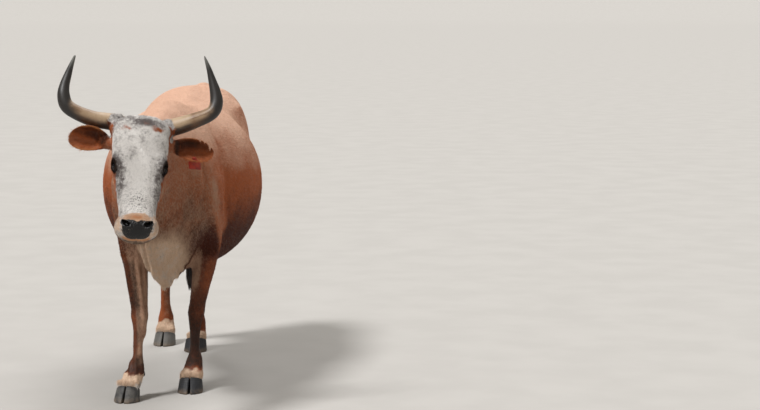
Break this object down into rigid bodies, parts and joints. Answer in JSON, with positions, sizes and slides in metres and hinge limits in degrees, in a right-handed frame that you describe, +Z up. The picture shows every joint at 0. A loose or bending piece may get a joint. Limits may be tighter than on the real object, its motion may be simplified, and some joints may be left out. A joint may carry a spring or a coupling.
{
  "type": "nguni cattle",
  "caption": "Standing life-size horned cow of Nguni type with a red-brown coat, pale roan face, lyre-shaped horns, cloven hooves, tufted tail and a blank ear tag.",
  "frame": {"origin": "on the floor, under the middle of the bounding box", "axes": "+Y from the muzzle to the tail, +X to the cow's left, +Z up"},
  "size_m": [0.6942, 2.125, 1.4085],
  "materials": {
    "red_hide": "short satin coat",
    "pale_face_hide": "short roan coat",
    "bare_skin": "bare skin",
    "horn": "satin horn",
    "hoof": "dusty hoof horn",
    "eye": "wet gloss",
    "switch_hair": "coarse hair",
    "tag": "satin"
  },
  "bodies": {
    "root": {"ear_left": "red_hide", "ear_right": "red_hide", "ear_tag": "tag", "eye_left": "eye", "eye_right": "eye", "foreleg_left": "red_hide", "foreleg_left_claw_left": "hoof", "foreleg_left_claw_right": "hoof", "foreleg_left_dewclaw_left": "hoof", "foreleg_left_dewclaw_right": "hoof", "foreleg_right": "red_hide", "foreleg_right_claw_left": "hoof", "foreleg_right_claw_right": "hoof", "foreleg_right_dewclaw_left": "hoof", "foreleg_right_dewclaw_right": "hoof", "head": "pale_face_hide", "hindleg_left": "red_hide", "hindleg_left_claw_left": "hoof", "hindleg_left_claw_right": "hoof", "hindleg_left_dewclaw_left": "hoof", "hindleg_left_dewclaw_right": "hoof", "hindleg_right": "red_hide", "hindleg_right_claw_left": "hoof", "hindleg_right_claw_right": "hoof", "hindleg_right_dewclaw_left": "hoof", "hindleg_right_dewclaw_right": "hoof", "horn_left": "horn", "horn_right": "horn", "neck": "red_hide", "tail": "red_hide", "tail_switch": "switch_hair", "torso": "red_hide", "udder": "bare_skin"}
  },
  "joints": []
}
